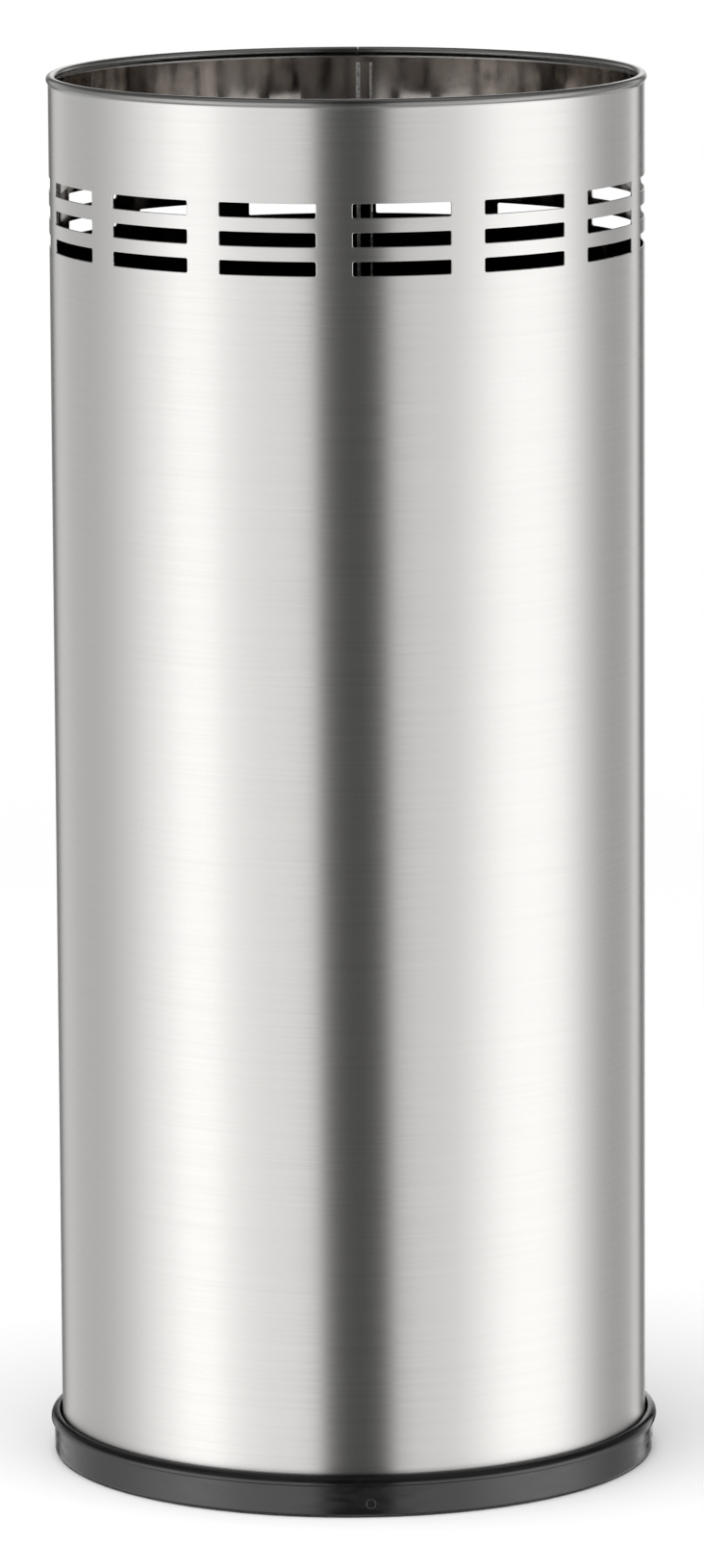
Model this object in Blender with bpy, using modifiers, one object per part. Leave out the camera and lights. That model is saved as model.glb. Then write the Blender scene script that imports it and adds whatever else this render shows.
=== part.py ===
"""Umbrella stand: a slotted steel tube with a rolled rim, standing in a moulded base ring.

Metres, +Z up. The origin is on the floor under the tube's axis. The front is -Y, where a
post between two slot columns stands; the lock seam and the rim's joint are at +Y. Every
turned piece has the same number of facets, so neighbouring faces stay parallel.
"""

import math

import bmesh
import bpy
from mathutils import Matrix

# Driving dimensions
STAND_HEIGHT = 0.490  # floor to the top of the rolled rim
SHELL_RADIUS = 0.1038  # outer face of the steel tube
SHEET = 0.0005  # steel sheet of the tube
GAP = 0.0003  # between faces that touch

# Slots
COLUMNS = 14
ROWS = 3
SLOT_WIDTH = 0.0341  # along the sheet
SLOT_HEIGHT = 0.00486
ROW_PITCH = 0.00982
TOP_ROW_DROP = 0.0378  # rim top to the middle of the highest row

# Rolled rim
WIRE_RADIUS = 0.0008
BEAD_OUTSTAND = 0.00085  # how far the bead stands out past the tube
BEAD_NECK = 0.0007  # bend between the tube and the bead
CURL_END = math.radians(250)  # where the curl stops, past the inner side
RIM_JOINT = 0.0004  # slit where the curl's two ends meet

# Lock seam on the inner face
SEAM_WIDTH = 0.0058
SEAM_RISE = 0.0010
SEAM_SHIFT = 0.0015  # seam's middle, to the side of the rim's joint
SEAM_HEADROOM = 0.0012  # below the bead

# Foot of the tube and the plate that rests on it
FOOT_WIDTH = 0.0070  # sheet turned in under the plate
FOOT_BEND = 0.0008
PLATE = 0.0006
PLATE_BEND = 0.0016
PLATE_RIM = 0.0080  # height of the plate's turned-up edge

# Base ring
PAD_PROUD = 0.0008  # pads below the skirt
LEDGE_HEIGHT = 0.0073  # floor to the face that the tube stands on
LEDGE_THICKNESS = 0.0020
LEDGE_WIDTH = 0.0140  # inwards from the tube's outer face
RING_HEIGHT = 0.01465  # floor to the top of the lip
LIP_HEIGHT = 0.0121  # floor to the lip's widest line
LIP_OUTSTAND = 0.0040  # lip past the tube
LIP_MOUTH = 0.0011  # between the lip's inner edge and the tube
LIP_EDGE = 0.0004
LIP_UNDERCUT = 0.0006
SKIRT_OUTSTAND = 0.0028
SKIRT_WALL = 0.0022
SKIRT_CHAMFER = 0.0005
SEAT_HEIGHT = 0.0100  # top of the close fit round the tube
MARK_RADIUS = 0.0017  # moulded circle on the skirt
MARK_WIDTH = 0.0003
MARK_DEPTH = 0.0002
MARK_HEIGHT = 0.0050
MARK_TURN = math.radians(5.5)  # from the front towards +X

# Rubber pads
PADS = 4
PAD_RADIUS = 0.0050
PAD_THICKNESS = 0.0015
BOSS_WALL = 0.0012  # boss past the pad, all round

# Drip tray
TRAY_CLEARANCE = 0.0012  # to the rim's bead, so that it lifts out
TRAY_HEIGHT = 0.0220
TRAY_WALL = 0.0016
TRAY_DRAFT = 0.0020
TRAY_BEND = 0.0040
TRAY_LIP = 0.0012
GRIP_RADIUS = 0.0150  # two half-round ears, at the front and the back

# Facets
FACETS_PER_COLUMN = 5
FACETS = COLUMNS * FACETS_PER_COLUMN
BEND_STEPS = 3
CURL_STEPS = 11
LIP_STEPS = 5
WIRE_FACETS = 8
PAD_FACETS = 24
MARK_FACETS = 20
MERGE = 0.00001  # Screw merge distance
OVERCUT = 0.0010  # how far a cutter runs past the face it cuts

# Worked out from the values above
BEAD_RADIUS = WIRE_RADIUS + GAP + SHEET
BEAD_CENTRE = SHELL_RADIUS + BEAD_OUTSTAND - BEAD_RADIUS
BEAD_LEVEL = STAND_HEIGHT - BEAD_RADIUS
SHELL_BORE = SHELL_RADIUS - SHEET
SHELL_BOTTOM = LEDGE_HEIGHT + GAP
SKIRT_RADIUS = SHELL_RADIUS + SKIRT_OUTSTAND
PAD_CIRCLE = SHELL_RADIUS - LEDGE_WIDTH / 2
PLATE_BOTTOM = SHELL_BOTTOM + SHEET + GAP
TRAY_BOTTOM = PLATE_BOTTOM + PLATE + GAP
TRAY_TOP = TRAY_BOTTOM + TRAY_HEIGHT
TRAY_RADIUS = BEAD_CENTRE - BEAD_RADIUS - TRAY_CLEARANCE
COLUMN_PITCH = 2 * math.pi / COLUMNS
FRONT = -math.pi / 2

STEEL = ("brushed_steel", (0.74, 0.73, 0.71), 0.30, 1.0)
WIRE_STEEL = ("wire_steel", (0.50, 0.50, 0.50), 0.40, 1.0)
PLATE_STEEL = ("plate_steel", (0.58, 0.58, 0.59), 0.45, 1.0)
RING_PLASTIC = ("ring_plastic", (0.040, 0.040, 0.043), 0.45, 0.0)
TRAY_PLASTIC = ("tray_plastic", (0.030, 0.030, 0.032), 0.50, 0.0)
PAD_RUBBER = ("pad_rubber", (0.020, 0.020, 0.020), 0.85, 0.0)


def clear_scene():
    for obj in list(bpy.data.objects):
        bpy.data.objects.remove(obj, do_unlink=True)


def new_collection(name):
    collection = bpy.data.collections.new(name)
    bpy.context.scene.collection.children.link(collection)
    return collection


def new_material(finish):
    name, colour, roughness, metallic = finish
    material = bpy.data.materials.new(name)
    material.use_nodes = True
    shader = material.node_tree.nodes["Principled BSDF"]
    shader.inputs["Base Color"].default_value = (*colour, 1.0)
    shader.inputs["Roughness"].default_value = roughness
    shader.inputs["Metallic"].default_value = metallic
    return material


def new_object(name, bm, collection, finish=None):
    """A mesh object from bm, in the collection, with its finish if it is a part."""
    mesh = bpy.data.meshes.new(name)
    bm.to_mesh(mesh)
    bm.free()
    obj = bpy.data.objects.new(name, mesh)
    collection.objects.link(obj)
    if finish:
        mesh.materials.append(new_material(finish))
        mesh.shade_smooth()
        mesh.set_sharp_from_angle(angle=math.radians(35))
    else:
        obj.hide_render = True
        obj.display_type = "WIRE"
    return obj


def arc(centre, radius, start, end, steps):
    """Points on an arc in the (radius, height) plane, both ends included."""
    angles = [start + (end - start) * step / steps for step in range(steps + 1)]
    return [(centre[0] + radius * math.cos(a), centre[1] + radius * math.sin(a)) for a in angles]


def sheet_outline(path, thickness):
    """Closed outline of a bent sheet whose middle runs along the path, foot first."""
    inner, outer = [], []
    for index, (radius, height) in enumerate(path):
        before = path[max(index - 1, 0)]
        after = path[min(index + 1, len(path) - 1)]
        run, rise = after[0] - before[0], after[1] - before[1]
        scale = thickness / 2 / math.hypot(run, rise)
        outer.append((radius + rise * scale, height - run * scale))
        inner.append((radius - rise * scale, height + run * scale))
    return outer[::-1] + inner


def turned(name, outline, collection, finish=None, closed=True):
    """A solid turned about Z. An outline that isn't closed starts and ends on the axis."""
    bm = bmesh.new()
    verts = [bm.verts.new((radius, 0, height)) for radius, height in outline]
    for first, second in zip(verts, verts[1:] + verts[:1] if closed else verts[1:]):
        bm.edges.new((first, second))
    obj = new_object(name, bm, collection, finish)
    screw = obj.modifiers.new("turn", "SCREW")
    screw.axis = "Z"
    screw.angle = 2 * math.pi
    screw.steps = FACETS
    screw.render_steps = FACETS
    screw.use_merge_vertices = True
    screw.merge_threshold = MERGE
    screw.use_smooth_shade = True
    return obj


def block(bm, size, place):
    bmesh.ops.create_cube(bm, size=1.0, matrix=place @ Matrix.Diagonal((*size, 1.0)))


def disc(bm, radius, height, facets, place):
    bmesh.ops.create_cone(
        bm, cap_ends=True, segments=facets, radius1=radius, radius2=radius, depth=height, matrix=place
    )


def boolean(obj, other, operation):
    modifier = obj.modifiers.new(f"{operation.lower()} {other.name}", "BOOLEAN")
    modifier.operation = operation
    modifier.solver = "EXACT"
    modifier.object = other


def around(angle, radius, height):
    """A frame on the tube's side: X points outwards at this angle, and Z stays up."""
    return Matrix.Rotation(angle, 4, "Z") @ Matrix.Translation((radius, 0, height))


def shell_path():
    """Middle of the sheet: in-turned foot, tube wall, neck, and the curl round the wire."""
    wall = SHELL_RADIUS - SHEET / 2
    floor = SHELL_BOTTOM + SHEET / 2
    curl = BEAD_RADIUS - SHEET / 2
    sideways = wall + BEAD_NECK - BEAD_CENTRE
    drop = math.sqrt((BEAD_NECK + curl) ** 2 - sideways**2)
    meet = math.atan2(-drop, sideways)
    path = [(SHELL_RADIUS - FOOT_WIDTH, floor)]
    path += arc((wall - FOOT_BEND, floor + FOOT_BEND), FOOT_BEND, FRONT, 0, BEND_STEPS)
    path += arc((wall + BEAD_NECK, BEAD_LEVEL - drop), BEAD_NECK, math.pi, meet + math.pi, BEND_STEPS)
    path += arc((BEAD_CENTRE, BEAD_LEVEL), curl, meet, CURL_END, CURL_STEPS)[1:]
    return path


def slot_cutters(collection):
    """One block for each slot, in columns spaced evenly to either side of the front post."""
    width = 2 * SHELL_RADIUS * math.sin(SLOT_WIDTH / SHELL_RADIUS / 2)
    bm = bmesh.new()
    for column in range(COLUMNS):
        angle = FRONT + (column + 0.5) * COLUMN_PITCH
        for row in range(ROWS):
            height = STAND_HEIGHT - TOP_ROW_DROP - row * ROW_PITCH
            depth = SHELL_RADIUS * (1 - math.cos(COLUMN_PITCH / 2)) + SHEET + OVERCUT
            block(bm, (2 * depth, width, SLOT_HEIGHT), around(angle, SHELL_RADIUS, height))
    return new_object("slot_cutters", bm, collection)


def seam_face():
    """How far back the seam's flat inner face lies from the axis."""
    return SHELL_BORE * math.cos(math.pi / FACETS) - SEAM_RISE


def seam_strip(collection):
    """The folded seam, a flat strip on the inner face from the foot's bend up to the bead."""
    top = BEAD_LEVEL - BEAD_RADIUS - SEAM_HEADROOM
    bottom = SHELL_BOTTOM + SHEET / 2 + FOOT_BEND
    face = seam_face()
    back = (SHELL_RADIUS - SHEET / 2) * math.cos(math.pi / FACETS)
    bm = bmesh.new()
    place = Matrix.Translation((SEAM_SHIFT, (face + back) / 2, (top + bottom) / 2))
    block(bm, (SEAM_WIDTH, back - face, top - bottom), place)
    return new_object("seam_strip", bm, collection)


def rim_slit(collection):
    """Cuts the curl through where its two ends meet, down to the top of the tube wall."""
    bottom = BEAD_LEVEL - BEAD_RADIUS / 2
    top = STAND_HEIGHT + OVERCUT
    place = Matrix.Translation((0, BEAD_CENTRE, (top + bottom) / 2))
    bm = bmesh.new()
    block(bm, (RIM_JOINT, 2 * (BEAD_RADIUS + OVERCUT), top - bottom), place)
    return new_object("rim_slit", bm, collection)


def make_shell(parts, cutters):
    shell = turned("body_shell", sheet_outline(shell_path(), SHEET), parts, STEEL)
    boolean(shell, seam_strip(cutters), "UNION")
    boolean(shell, slot_cutters(cutters), "DIFFERENCE")
    boolean(shell, rim_slit(cutters), "DIFFERENCE")


def make_rim_wire(parts):
    circle = arc((BEAD_CENTRE, BEAD_LEVEL), WIRE_RADIUS, 2 * math.pi, 0, WIRE_FACETS)[:-1]
    turned("rim_wire", circle, parts, WIRE_STEEL)


def make_bottom_plate(parts, cutters):
    """Pressed disc with a turned-up edge, notched where the seam passes."""
    edge = SHELL_BORE - GAP - PLATE / 2
    level = PLATE_BOTTOM + PLATE / 2
    path = [(SHELL_RADIUS - FOOT_WIDTH, level)]
    path += arc((edge - PLATE_BEND, level + PLATE_BEND), PLATE_BEND, FRONT, 0, BEND_STEPS)
    path.append((edge, level + PLATE_RIM))
    outline = sheet_outline(path, PLATE)
    outer, inner = outline[: len(path)], outline[len(path) :]
    disc_outline = [(0, PLATE_BOTTOM + PLATE), *inner, *outer, (0, PLATE_BOTTOM)]
    plate = turned("bottom_plate", disc_outline, parts, PLATE_STEEL, closed=False)
    bottom = PLATE_BOTTOM - OVERCUT
    top = PLATE_BOTTOM + PLATE + PLATE_RIM + OVERCUT
    front, back = seam_face() - GAP, SHELL_RADIUS
    bm = bmesh.new()
    place = Matrix.Translation((SEAM_SHIFT, (front + back) / 2, (top + bottom) / 2))
    block(bm, (SEAM_WIDTH + 2 * GAP, back - front, top - bottom), place)
    boolean(plate, new_object("seam_notch", bm, cutters), "DIFFERENCE")


def ring_outline():
    """Lip, skirt and inner ledge of the base ring, down the outer side and up the inner."""
    mouth = SHELL_RADIUS + LIP_MOUTH
    lip = SHELL_RADIUS + LIP_OUTSTAND
    rise = RING_HEIGHT - LIP_HEIGHT
    crown = arc((0, 0), 1.0, math.pi / 2, 0, LIP_STEPS)
    outline = [(mouth + (lip - mouth) * across, LIP_HEIGHT + rise * up) for across, up in crown]
    neck = LIP_HEIGHT - LIP_EDGE
    inner_skirt = SKIRT_RADIUS - SKIRT_WALL
    ledge = SHELL_RADIUS - LEDGE_WIDTH
    seat = SHELL_RADIUS + GAP
    outline += [
        (lip, neck),
        (SKIRT_RADIUS, neck - LIP_UNDERCUT),
        (SKIRT_RADIUS, PAD_PROUD + SKIRT_CHAMFER),
        (SKIRT_RADIUS - SKIRT_CHAMFER, PAD_PROUD),
        (inner_skirt, PAD_PROUD),
        (inner_skirt, LEDGE_HEIGHT - LEDGE_THICKNESS),
        (ledge, LEDGE_HEIGHT - LEDGE_THICKNESS),
        (ledge, LEDGE_HEIGHT),
        (seat, LEDGE_HEIGHT),
        (seat, SEAT_HEIGHT),
    ]
    return outline


def pad_angle(number):
    return FRONT + (number + 0.5) * 2 * math.pi / PADS


def pad_bosses(collection):
    """Round bosses under the ledge, which the pads are stuck to."""
    bottom = PAD_THICKNESS + GAP
    top = LEDGE_HEIGHT - LEDGE_THICKNESS / 2
    bm = bmesh.new()
    for number in range(PADS):
        place = around(pad_angle(number), PAD_CIRCLE, (top + bottom) / 2)
        disc(bm, PAD_RADIUS + BOSS_WALL, top - bottom, PAD_FACETS, place)
    return new_object("pad_bosses", bm, collection)


def mark_groove(collection):
    """A thin circle let into the skirt."""
    lie_outwards = Matrix.Rotation(math.pi / 2, 4, "Y")
    place = around(FRONT + MARK_TURN, SKIRT_RADIUS, MARK_HEIGHT) @ lie_outwards
    bm = bmesh.new()
    disc(bm, MARK_RADIUS, 2 * MARK_DEPTH, MARK_FACETS, place)
    groove = new_object("mark_groove", bm, collection)
    bm = bmesh.new()
    disc(bm, MARK_RADIUS - MARK_WIDTH, 2 * (MARK_DEPTH + OVERCUT), MARK_FACETS, place)
    boolean(groove, new_object("mark_core", bm, collection), "DIFFERENCE")
    return groove


def make_base_ring(parts, cutters):
    ring = turned("base_ring", ring_outline(), parts, RING_PLASTIC)
    boolean(ring, pad_bosses(cutters), "UNION")
    boolean(ring, mark_groove(cutters), "DIFFERENCE")


def make_pads(parts):
    for number in range(PADS):
        bm = bmesh.new()
        place = around(pad_angle(number), PAD_CIRCLE, PAD_THICKNESS / 2)
        disc(bm, PAD_RADIUS, PAD_THICKNESS, PAD_FACETS, place)
        new_object(f"foot_pad_{number + 1}", bm, parts, PAD_RUBBER)


def grip_ears(collection):
    """Half-round ears that stand up from the tray's wall, cut from one turned sleeve."""
    outer = TRAY_RADIUS - TRAY_LIP
    inner = outer - TRAY_WALL
    bottom = TRAY_TOP - TRAY_WALL
    top = TRAY_TOP + GRIP_RADIUS + OVERCUT
    outline = [(outer, top), (outer, bottom), (inner, bottom), (inner, top)]
    sleeve = turned("grip_ears", outline, collection)
    lie_along_y = Matrix.Rotation(math.pi / 2, 4, "X")
    place = Matrix.Translation((0, 0, TRAY_TOP - TRAY_WALL / 2)) @ lie_along_y
    bm = bmesh.new()
    disc(bm, GRIP_RADIUS, 2 * (outer + OVERCUT), PAD_FACETS, place)
    boolean(sleeve, new_object("grip_outline", bm, collection), "INTERSECT")
    return sleeve


def tray_outline():
    """Floor, drafted wall and out-turned lip of the tray, from the axis to the axis."""
    wall = TRAY_RADIUS - TRAY_LIP
    foot = wall - TRAY_DRAFT
    bend = (foot - TRAY_BEND, TRAY_BOTTOM + TRAY_BEND)
    outer_foot = arc(bend, TRAY_BEND, 0, FRONT, BEND_STEPS)
    inner_foot = arc(bend, TRAY_BEND - TRAY_WALL, FRONT, 0, BEND_STEPS)
    return [
        (0, TRAY_BOTTOM + TRAY_WALL),
        *inner_foot,
        (wall - TRAY_WALL, TRAY_TOP),
        (TRAY_RADIUS, TRAY_TOP),
        (TRAY_RADIUS, TRAY_TOP - TRAY_WALL),
        (wall, TRAY_TOP - TRAY_WALL),
        *outer_foot,
        (0, TRAY_BOTTOM),
    ]


def make_drip_tray(parts, cutters):
    tray = turned("drip_tray", tray_outline(), parts, TRAY_PLASTIC, closed=False)
    boolean(tray, grip_ears(cutters), "UNION")


def main():
    clear_scene()
    parts = new_collection("umbrella_stand")
    cutters = new_collection("cutters")
    make_shell(parts, cutters)
    make_rim_wire(parts)
    make_bottom_plate(parts, cutters)
    make_base_ring(parts, cutters)
    make_pads(parts)
    make_drip_tray(parts, cutters)


main()
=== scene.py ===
"""The umbrella stand, dressed: a punched steel tube with a rolled rim on a moulded base ring.

Metres, +Z up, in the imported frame. The front is -Y, and bearings are measured round the
tube from the front towards +X. The tube is made as a metalworker makes it: one column of
slots is punched in flat sheet, repeated along the blank, and the blank is rolled round.
"""

from __future__ import annotations

import logging
import math
from collections.abc import Sequence
from dataclasses import dataclass, field
from enum import Enum

import bmesh
import bpy
from mathutils import Matrix, Vector


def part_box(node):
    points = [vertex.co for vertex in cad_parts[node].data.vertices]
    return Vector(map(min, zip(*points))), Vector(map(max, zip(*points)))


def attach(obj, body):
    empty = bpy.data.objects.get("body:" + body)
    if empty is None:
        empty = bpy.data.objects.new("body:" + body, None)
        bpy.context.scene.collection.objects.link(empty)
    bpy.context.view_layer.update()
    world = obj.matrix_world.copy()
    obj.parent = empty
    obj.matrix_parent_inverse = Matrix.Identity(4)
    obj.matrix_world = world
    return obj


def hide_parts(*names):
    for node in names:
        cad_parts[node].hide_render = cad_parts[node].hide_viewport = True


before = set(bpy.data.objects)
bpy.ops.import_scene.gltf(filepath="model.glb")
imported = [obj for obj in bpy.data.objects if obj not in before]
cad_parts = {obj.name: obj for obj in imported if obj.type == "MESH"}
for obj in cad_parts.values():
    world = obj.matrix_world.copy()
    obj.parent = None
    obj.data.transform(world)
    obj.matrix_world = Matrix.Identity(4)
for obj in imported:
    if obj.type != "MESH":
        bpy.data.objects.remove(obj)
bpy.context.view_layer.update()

LOG = logging.getLogger("umbrella_stand")

Point = tuple[float, float]
Colour = tuple[float, float, float]
Socket = bpy.types.NodeSocket

STAND = "stand"
TRAY = "tray"

FACETS = 336  # flats round the tube's and the ring's full circle
MERGE_DISTANCE = 2e-6
SAME_LEVEL = 7  # decimals of a metre that tell two heights apart
NOISE_RANGE = (0.3, 0.7)  # where nearly all of a noise's values lie
STAINLESS: Colour = (0.740, 0.734, 0.722)


class Slot(Enum):
    """The record's material slots of the new pieces."""

    SHELL = "shell_steel"
    PLATE = "plate_steel"
    RING = "ring_plastic"
    TRAY = "tray_plastic"
    PAD = "pad_rubber"


class Joining(Enum):
    """How one solid is combined with another."""

    CUT = "DIFFERENCE"
    WELD = "UNION"
    COMMON = "INTERSECT"


# ---------------------------------------------------------------- node trees


class Graph:
    """A node tree with short calls to add and join its nodes."""

    def __init__(self, tree: bpy.types.NodeTree) -> None:
        """Keep the tree that the calls work on."""
        self.tree = tree

    def node(self, kind: str, inputs: dict | None = None, **settings: object) -> bpy.types.Node:
        """Add a node.

        Args:
            kind: The node's type.
            inputs: Values or sockets, by the input's name or number.
            settings: The node's own properties.

        Returns:
            The new node.
        """
        node = self.tree.nodes.new(kind)
        for name, value in settings.items():
            setattr(node, name, value)
        for key, value in (inputs or {}).items():
            if isinstance(value, Socket):
                self.tree.links.new(value, node.inputs[key])
            else:
                node.inputs[key].default_value = value
        return node

    def math(self, operation: str, *values: float | Socket) -> Socket:
        """Add a Math node on the values and return its result."""
        return self.node("ShaderNodeMath", dict(enumerate(values)), operation=operation).outputs[0]

    def ramp(self, value: Socket, start: float, end: float, low: float, high: float) -> Socket:
        """Ease from low to high as the value goes from start to end.

        Args:
            value: What the ramp reads.
            start: The value at which the ramp begins.
            end: The value at which it ends.
            low: The result up to start.
            high: The result from end on.

        Returns:
            The result's socket.
        """
        inputs = {"Value": value, 1: start, 2: end, 3: low, 4: high}
        return self.node("ShaderNodeMapRange", inputs, interpolation_type="SMOOTHSTEP").outputs[0]

    def noise(self, place: Socket, scale: Sequence[float], detail: float = 2.0) -> Socket:
        """Noise over Object coordinates.

        Args:
            place: The coordinates.
            scale: Cells per metre along X, Y and Z.
            detail: Octaves of finer noise.

        Returns:
            The noise's value socket.
        """
        mapped = self.node("ShaderNodeMapping", {"Vector": place, "Scale": scale})
        inputs = {"Vector": mapped.outputs[0], "Scale": 1.0, "Detail": detail}
        return self.node("ShaderNodeTexNoise", inputs).outputs[0]

    def tint(self, factor: Socket, low: Colour, high: Colour) -> Socket:
        """Mix two colours.

        Args:
            factor: The share of the second colour.
            low: The first colour.
            high: The second colour.

        Returns:
            The mixed colour's socket.
        """
        mix = self.node("ShaderNodeMix", data_type="RGBA")
        self.tree.links.new(factor, mix.inputs[0])
        mix.inputs[6].default_value = (*low, 1.0)
        mix.inputs[7].default_value = (*high, 1.0)
        return mix.outputs[2]


def scaled(colour: Colour, factor: float) -> Colour:
    """Return the colour, lighter or darker by a factor."""
    return tuple(channel * factor for channel in colour)


# ------------------------------------------------------------------ finishes


@dataclass(frozen=True)
class Finish:
    """What every finish has: a name, a colour and a roughness."""

    name: str
    colour: Colour
    roughness: float

    def start(self, metallic: float) -> tuple[bpy.types.Material, Graph, bpy.types.Node, Socket]:
        """Begin the material.

        Args:
            metallic: 1 for bare metal, 0 for plastic and rubber.

        Returns:
            The material, its graph, its shader and its Object coordinates.
        """
        material = bpy.data.materials.new(self.name)
        material.use_nodes = True
        graph = Graph(material.node_tree)
        shader = material.node_tree.nodes["Principled BSDF"]
        shader.inputs["Metallic"].default_value = metallic
        place = graph.node("ShaderNodeTexCoord").outputs["Object"]
        return material, graph, shader, place

    def relief(self, graph: Graph, shader: bpy.types.Node, height: Socket, depth: float) -> None:
        """Raise the surface by a height pattern.

        Args:
            graph: The material's graph.
            shader: The shader that takes the relief.
            height: The pattern, from 0 to 1.
            depth: How high 1 is, in metres.
        """
        bump = graph.node("ShaderNodeBump", {"Height": height, "Strength": 1.0, "Distance": depth})
        graph.tree.links.new(bump.outputs[0], shader.inputs["Normal"])


@dataclass(frozen=True)
class BrushedSteel(Finish):
    """Stainless sheet brushed round the tube: fine lines that run level.

    The lines go from one shade of the colour to the other, and they are rougher or smoother
    than the sheet by the unevenness.
    """

    anisotropy: float = 0.9
    line_height: float = 0.00032
    line_length: float = 0.060
    line_depth: float = 1.2e-6
    fine_share: float = 0.65
    unevenness: float = 0.035
    shades: tuple[float, float] = (0.95, 1.04)

    def material(self) -> bpy.types.Material:
        """Build the material.

        Returns:
            The material.
        """
        material, graph, shader, place = self.start(metallic=1.0)
        along, across = 1 / self.line_length, 1 / self.line_height
        fine = graph.noise(place, (along, along, across), 3.0)
        broad = graph.noise(place, (along / 2, along / 2, across / 4), 3.0)
        fine_part = graph.math("MULTIPLY", fine, self.fine_share)
        lines = graph.math("MULTIPLY_ADD", broad, 1 - self.fine_share, fine_part)
        dark, light = (scaled(self.colour, share) for share in self.shades)
        colour = graph.tint(graph.ramp(lines, *NOISE_RANGE, 0.0, 1.0), dark, light)
        smooth, coarse = self.roughness - self.unevenness, self.roughness + self.unevenness
        rough = graph.ramp(lines, *NOISE_RANGE, smooth, coarse)
        graph.tree.links.new(self.add_painted_shade(graph, place, colour), shader.inputs["Base Color"])
        graph.tree.links.new(rough, shader.inputs["Roughness"])
        shader.inputs["Anisotropic"].default_value = self.anisotropy
        shader.inputs["Anisotropic Rotation"].default_value = 0.25
        tangent = graph.node("ShaderNodeTangent", direction_type="RADIAL", axis="Z")
        graph.tree.links.new(tangent.outputs[0], shader.inputs["Tangent"])
        self.relief(graph, shader, fine, self.line_depth)
        return material

    def add_painted_shade(self, graph: Graph, place: Socket, colour: Socket) -> Socket:
        """Return the colour with its painted shade, which is none on a plain wall."""
        return colour


@dataclass(frozen=True)
class RolledEdge(BrushedSteel):
    """The same sheet, darkened round the bead's middle height as painted shade."""

    middle: float = 0.0
    reach_up: float = 0.0014
    reach_down: float = 0.0030
    painted_shade_share: float = 0.36

    def add_painted_shade(self, graph: Graph, place: Socket, colour: Socket) -> Socket:
        """Darken the colour round the bead's middle, as painted shade.

        Args:
            graph: The material's graph.
            place: Object coordinates.
            colour: The brushed colour.

        Returns:
            The darkened colour.
        """
        height = graph.node("ShaderNodeSeparateXYZ", {0: place}).outputs[2]
        above = graph.ramp(height, self.middle, self.middle + self.reach_up, self.painted_shade_share, 1.0)
        below = graph.ramp(height, self.middle - self.reach_down, self.middle, 1.0, self.painted_shade_share)
        share = graph.math("MAXIMUM", above, below)
        inputs = {"Vector": colour, "Scale": share}
        return graph.node("ShaderNodeVectorMath", inputs, operation="SCALE").outputs[0]


@dataclass(frozen=True)
class MilledSteel(Finish):
    """Bare mill-finish sheet: bright and dull blotches on a slightly wavy face.

    The ranges are the noise values between which clean metal and dulling come in. The shades
    are those of grime and of clean metal. Where the two heights are given, painted shade darkens
    the metal from the upper to the lower one, and no metal is clean below the lower one.
    """

    blotch: float = 0.014
    dulling: float = 0.22
    wave: float = 0.030
    wave_depth: float = 6e-5
    lit_above: float = 0.0
    shaded_below: float = 0.0
    clean_range: tuple[float, float] = (0.38, 0.60)
    dull_range: tuple[float, float] = (0.36, 0.66)
    shades: tuple[float, float] = (0.50, 1.15)

    def material(self) -> bpy.types.Material:
        """Build the material.

        Returns:
            The material.
        """
        material, graph, shader, place = self.start(metallic=1.0)
        cells = 1 / self.blotch
        blotches = graph.noise(place, (cells, cells, cells / 1.5), 6.0)
        grime = graph.noise(place, (cells / 3, cells / 3, cells / 4), 3.0)
        shade = graph.math("MULTIPLY_ADD", grime, 0.5, graph.math("MULTIPLY", blotches, 0.5))
        clean = graph.ramp(shade, *self.clean_range, 0.0, 1.0)
        # Painted shade: between the two heights the metal darkens, and below the lower one it keeps
        # the darker shade.
        if self.lit_above > self.shaded_below:
            height = graph.node("ShaderNodeSeparateXYZ", {0: place}).outputs[2]
            deep = graph.ramp(height, self.shaded_below, self.lit_above, 0.0, 1.0)
            clean = graph.math("MULTIPLY", clean, deep)
        grime_and_shade, bright = (scaled(self.colour, share) for share in self.shades)
        colour = graph.tint(clean, grime_and_shade, bright)
        dull = self.roughness + self.dulling
        rough = graph.ramp(blotches, *self.dull_range, self.roughness, dull)
        graph.tree.links.new(colour, shader.inputs["Base Color"])
        graph.tree.links.new(rough, shader.inputs["Roughness"])
        waves = graph.noise(place, (1 / self.wave,) * 3, 2.0)
        self.relief(graph, shader, waves, self.wave_depth)
        return material


@dataclass(frozen=True)
class Moulding(Finish):
    """Injection-moulded plastic: satin, with a fine spark-eroded grain and faint scuffs.

    Handling has polished some of it and worn the rest rougher.
    """

    grain: float = 0.00045
    grain_depth: float = 6e-6
    gloss_ior: float = 1.5
    scuff_cells: tuple[float, float, float] = (90.0, 90.0, 420.0)
    scuff_range: tuple[float, float] = (0.35, 0.70)
    polish: float = 0.05
    wear: float = 0.08
    shades: tuple[float, float] = (0.8, 1.3)

    def material(self) -> bpy.types.Material:
        """Build the material.

        Returns:
            The material.
        """
        material, graph, shader, place = self.start(metallic=0.0)
        cells = 1 / self.grain
        grain = graph.noise(place, (cells, cells, cells), 2.0)
        scuffs = graph.noise(place, self.scuff_cells, 4.0)
        dark, light = (scaled(self.colour, share) for share in self.shades)
        colour = graph.tint(scuffs, dark, light)
        polished, worn = self.roughness - self.polish, self.roughness + self.wear
        rough = graph.ramp(scuffs, *self.scuff_range, polished, worn)
        graph.tree.links.new(colour, shader.inputs["Base Color"])
        graph.tree.links.new(rough, shader.inputs["Roughness"])
        shader.inputs["IOR"].default_value = self.gloss_ior
        self.relief(graph, shader, grain, self.grain_depth)
        return material


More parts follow.
